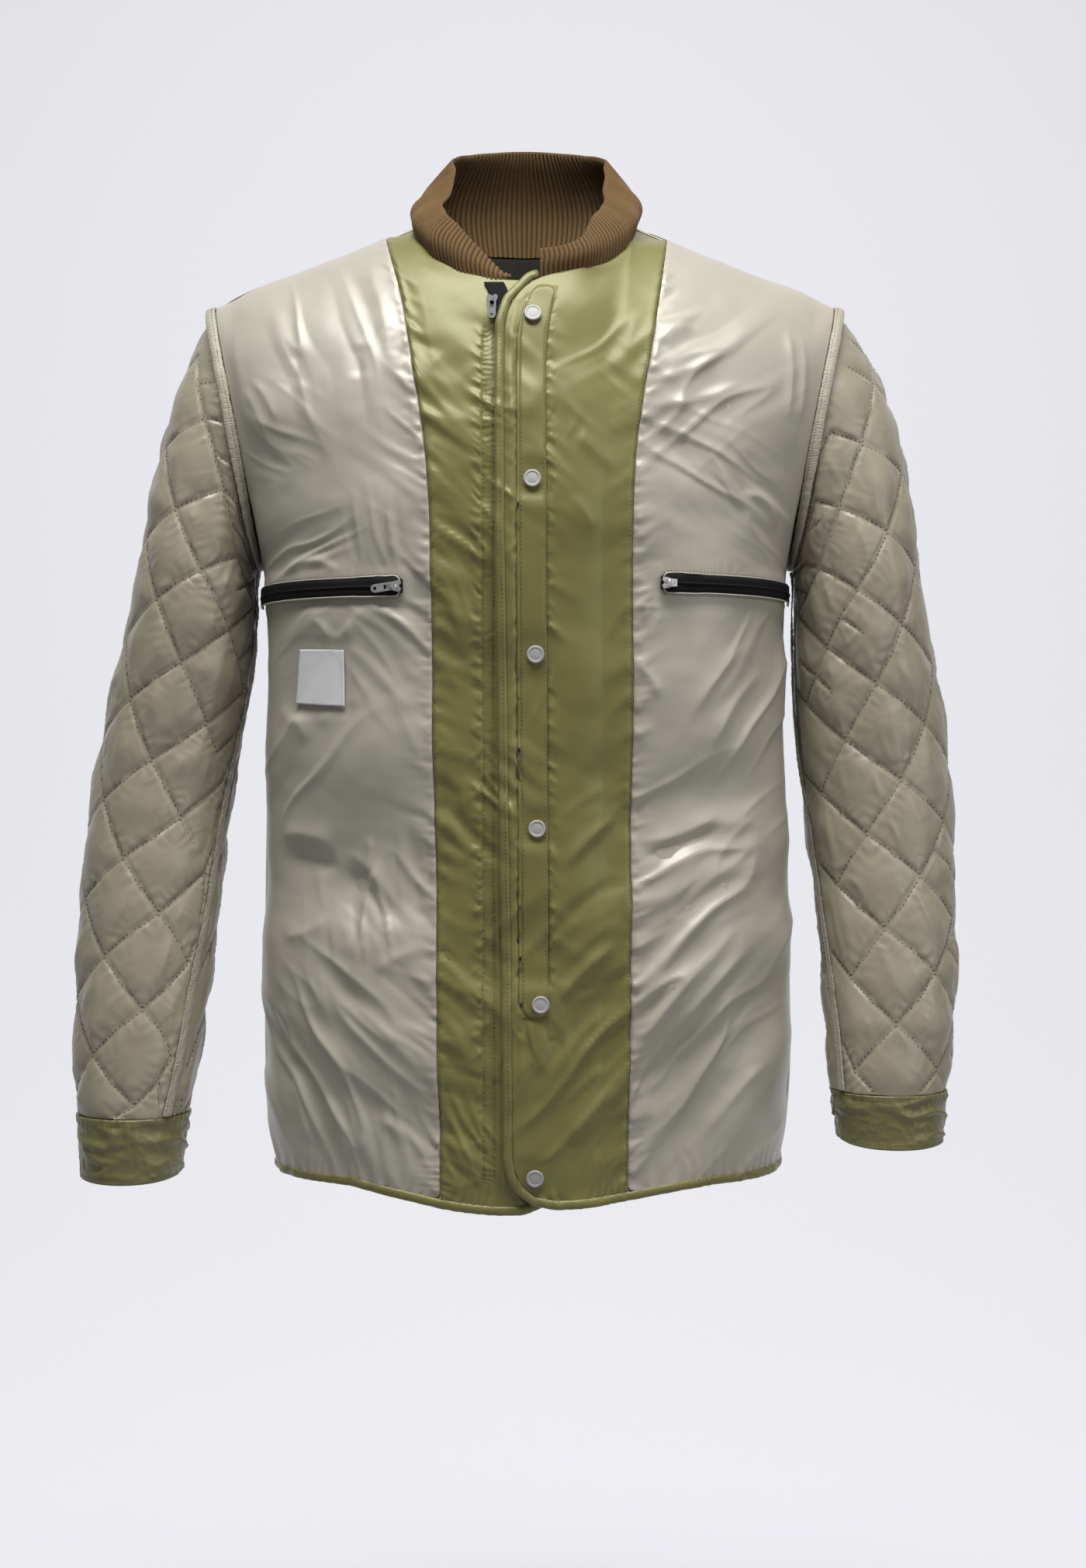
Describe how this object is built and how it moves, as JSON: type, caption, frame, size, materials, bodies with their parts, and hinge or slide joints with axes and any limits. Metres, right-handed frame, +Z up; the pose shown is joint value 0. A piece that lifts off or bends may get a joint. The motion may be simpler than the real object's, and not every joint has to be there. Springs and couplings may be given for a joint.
{
  "type": "jacket",
  "caption": "Hollow padded jacket worn inside out: sateen body, diamond-quilted sleeves, ribbed stand collar, snap placket over a zip, zipped pockets and bound hem",
  "frame": {"origin": "middle of the neck opening, level with the points where collar and shoulder seams meet", "axes": "+Z up, +X to the wearer's left, -Y to the front; metres"},
  "size_m": [0.6591, 0.2597, 0.7853],
  "materials": {
    "olive_sateen": "satin",
    "taupe_sateen": "satin",
    "taupe_quilting": "satin",
    "taupe_binding": "satin",
    "brown_corduroy": "matte",
    "olive_binding": "satin",
    "black_zip_tape": "satin",
    "white_label": "matte",
    "snap_metal": "brushed",
    "zip_metal": "polished"
  },
  "bodies": {
    "jacket": {"facing_right": "olive_sateen", "facing_left": "olive_sateen", "cuff_right": "olive_sateen", "cuff_left": "olive_sateen", "snap_strip": "olive_sateen", "front_right": "taupe_sateen", "front_left": "taupe_sateen", "back": "taupe_sateen", "sleeve_right": "taupe_quilting", "sleeve_left": "taupe_quilting", "sleeve_seam_right": "taupe_binding", "sleeve_seam_left": "taupe_binding", "armhole_seam_right": "taupe_binding", "armhole_seam_left": "taupe_binding", "collar": "brown_corduroy", "edge_binding": "olive_binding", "pocket_zip_right": "black_zip_tape", "pocket_zip_left": "black_zip_tape", "front_zip": "black_zip_tape", "label": "white_label", "snap_1": "snap_metal", "snap_2": "snap_metal", "snap_3": "snap_metal", "snap_4": "snap_metal", "snap_5": "snap_metal", "snap_6": "snap_metal", "pocket_slider_right": "zip_metal", "pocket_slider_left": "zip_metal", "front_slider": "zip_metal"},
    "pull_right": {"pocket_tab_right": "zip_metal"},
    "pull_left": {"pocket_tab_left": "zip_metal"},
    "pull_front": {"front_tab": "zip_metal"}
  },
  "joints": [
    {"name": "pocket_pull_right", "type": "hinge", "parent": "jacket", "child": "pull_right", "pos_m": [-0.09107, -0.12327, -0.28022], "axis": [-0.1364, -0.0154, 0.9905], "range_deg": [0, 150]},
    {"name": "pocket_pull_left", "type": "hinge", "parent": "jacket", "child": "pull_left", "pos_m": [0.1023, -0.12089, -0.27771], "axis": [0.1685, 0.0829, -0.9822], "range_deg": [-100, 35]},
    {"name": "front_pull", "type": "hinge", "parent": "jacket", "child": "pull_front", "pos_m": [-0.02234, -0.10145, -0.07802], "axis": [-0.9996, 0.0289, 0], "range_deg": [0, 150]}
  ]
}
